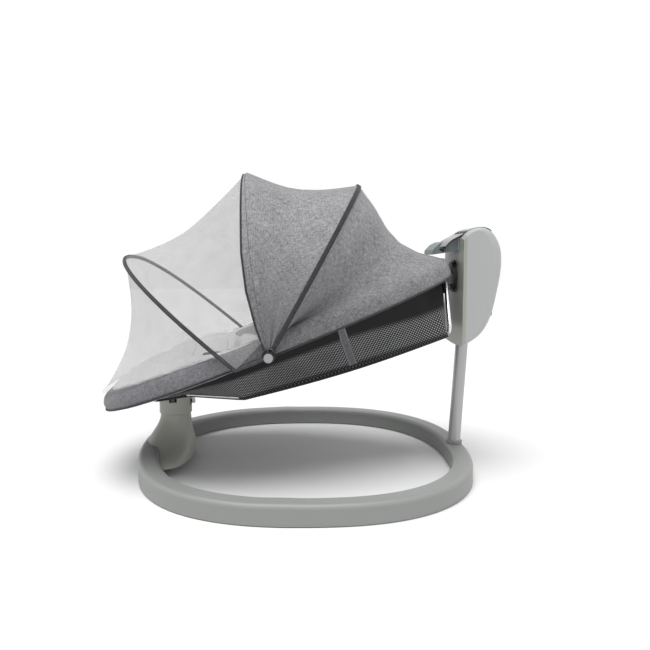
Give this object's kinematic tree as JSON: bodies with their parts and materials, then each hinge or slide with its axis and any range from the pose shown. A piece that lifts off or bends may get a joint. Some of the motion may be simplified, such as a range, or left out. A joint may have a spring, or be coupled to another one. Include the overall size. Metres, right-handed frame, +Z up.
{
  "type": "baby swing",
  "caption": "Powered baby swing: a reclined padded seat with folding canopy and net, hung between a swivelling front post and a motor head on a ring base.",
  "frame": {"origin": "on the floor under the middle of the whole object's outline, 9.5 mm towards the foot end from the ring's centre", "axes": "+Z up, +X from the foot end to the head end and motor head, Y across"},
  "size_m": [0.7606, 0.6402, 0.5654],
  "materials": {
    "base_plastic": "satin warm-grey moulded plastic",
    "black_plastic": "matte black moulded plastic",
    "rubber": "matte non-slip rubber",
    "bright_steel": "zinc-plated steel",
    "grey_tube": "grey powder-coated steel tube",
    "white_nylon": "natural nylon",
    "gloss_panel": "glossy black plastic",
    "key_plastic": "grey rubberised key",
    "button_plastic": "grey plastic release button",
    "melange_fabric": "woven grey melange polyester",
    "black_mesh": "charcoal spacer mesh",
    "cushion_fabric": "light grey padded knit",
    "webbing": "grey woven webbing",
    "net": "fine light-grey insect net",
    "rib_wire": "dark coated wire hoop",
    "board": "green circuit board"
  },
  "bodies": {
    "base": {"ring_foot_half": "base_plastic", "ring_head_half": "base_plastic", "ring_cover_foot": "black_plastic", "ring_cover_head": "black_plastic", "rubber_feet": "rubber", "ring_joint_keys": "black_plastic", "ring_screws": "bright_steel", "post_shell": "base_plastic", "post_stem": "bright_steel", "stem_cap": "bright_steel", "rear_tube": "grey_tube", "tube_socket": "base_plastic"},
    "swivel": {"swivel_collar": "base_plastic", "swivel_bush": "white_nylon", "tilt_pin": "bright_steel"},
    "tilt": {"tilt_block": "black_plastic"},
    "seat": {"glide_bar": "bright_steel", "seat_bracket": "grey_tube", "rim_tube": "grey_tube", "rim_sleeve": "melange_fabric", "lower_rail_left": "grey_tube", "lower_rail_right": "grey_tube", "rear_hoop": "bright_steel", "nose_bracket": "black_plastic", "canopy_hubs": "black_plastic", "hub_pins": "bright_steel", "mesh_sling": "black_mesh", "seat_cushion": "cushion_fabric", "side_pads": "melange_fabric", "side_straps": "webbing", "harness_straps": "webbing", "buckle": "black_plastic", "rear_gore": "melange_fabric"},
    "buckle_button": {"buckle_button": "button_plastic"},
    "mid_rib": {"mid_rib": "rib_wire", "front_gore": "melange_fabric"},
    "front_rib": {"front_rib": "rib_wire", "net_upper": "net"},
    "net_bow": {"net_bow": "rib_wire", "net_lower": "net"},
    "drive_head": {"head_front_shell": "base_plastic", "head_rear_shell": "base_plastic", "control_panel": "gloss_panel", "dc_inlet": "black_plastic", "tube_sleeve": "white_nylon", "head_frame": "black_plastic", "motor": "bright_steel", "circuit_board": "board", "speaker": "black_plastic", "crank_bearing": "white_nylon"},
    "crank": {"crank_disc": "black_plastic", "crank_pin": "bright_steel", "crank_gear": "white_nylon"},
    "pinion": {"pinion": "white_nylon", "motor_shaft": "bright_steel"},
    "recline_latch": {"recline_latch": "black_plastic"},
    "power_button": {"power_button": "key_plastic"},
    "swing_button": {"swing_button": "key_plastic"},
    "music_button": {"music_button": "key_plastic"},
    "timer_button": {"timer_button": "key_plastic"}
  },
  "joints": [
    {"name": "recline", "type": "slide", "parent": "base", "child": "drive_head", "axis": [0.061, 0, 0.9981], "range_m": [-0.041, 0]},
    {"name": "seat_tilt", "type": "hinge", "parent": "swivel", "child": "tilt", "pos_m": [-0.2465, 0, 0.129], "axis": [0, 1, 0], "range_deg": [0, 4.3]},
    {"name": "seat_glide", "type": "slide", "parent": "tilt", "child": "seat", "axis": [0.9877, 0, 0.1564], "range_m": [-0.019, 0]},
    {"name": "swing_yaw", "type": "hinge", "parent": "base", "child": "swivel", "pos_m": [-0.2465, 0, 0.106], "axis": [0, 0, 1], "range_deg": [-1.87, 1.87]},
    {"name": "crank_turn", "type": "hinge", "parent": "drive_head", "child": "crank", "pos_m": [0.2995, 0, 0.368], "axis": [1, 0, 0], "range_deg": [-61, 61]},
    {"name": "pinion_spin", "type": "hinge", "parent": "drive_head", "child": "pinion", "pos_m": [0.3075, 0.04365, 0.368], "axis": [1, 0, 0], "range_deg": [-136, 136]},
    {"name": "canopy_fold", "type": "hinge", "parent": "seat", "child": "mid_rib", "pos_m": [-0.0545, 0, 0.243], "axis": [0, 1, 0], "range_deg": [0, 30], "deforming": ["rear_gore"]},
    {"name": "front_rib_fold", "type": "hinge", "parent": "mid_rib", "child": "front_rib", "pos_m": [-0.0545, 0, 0.243], "axis": [0, 1, 0], "range_deg": [0, 32.2], "deforming": ["front_gore"]},
    {"name": "net_bow_fold", "type": "hinge", "parent": "front_rib", "child": "net_bow", "pos_m": [-0.0545, 0, 0.243], "axis": [0, 1, 0], "range_deg": [0, 37.2], "deforming": ["net_upper", "net_lower"]},
    {"name": "buckle_press", "type": "slide", "parent": "seat", "child": "buckle_button", "axis": [0.359, 0, -0.9333], "range_m": [0, 0.0015], "stiffness_N_per_m": 900},
    {"name": "latch_pull", "type": "slide", "parent": "drive_head", "child": "recline_latch", "axis": [1, 0, 0], "range_m": [0, 0.005], "stiffness_N_per_m": 800},
    {"name": "power_press", "type": "slide", "parent": "drive_head", "child": "power_button", "axis": [0.4961, 0, -0.8682], "range_m": [0, 0.001], "stiffness_N_per_m": 600},
    {"name": "swing_press", "type": "slide", "parent": "drive_head", "child": "swing_button", "axis": [0.4961, 0, -0.8682], "range_m": [0, 0.001], "stiffness_N_per_m": 600},
    {"name": "music_press", "type": "slide", "parent": "drive_head", "child": "music_button", "axis": [0.4961, 0, -0.8682], "range_m": [0, 0.001], "stiffness_N_per_m": 600},
    {"name": "timer_press", "type": "slide", "parent": "drive_head", "child": "timer_button", "axis": [0.4961, 0, -0.8682], "range_m": [0, 0.001], "stiffness_N_per_m": 600}
  ],
  "couplings": [
    {"joint": "seat_tilt", "follows": "recline", "rad_per_m": -1.7474},
    {"joint": "seat_glide", "follows": "recline", "ratio": 0.4493},
    {"joint": "crank_turn", "follows": "swing_yaw", "ratio": 32.104},
    {"joint": "pinion_spin", "follows": "swing_yaw", "ratio": -71.343},
    {"joint": "front_rib_fold", "follows": "canopy_fold", "ratio": 1.0667},
    {"joint": "net_bow_fold", "follows": "canopy_fold", "ratio": 1.2333}
  ]
}
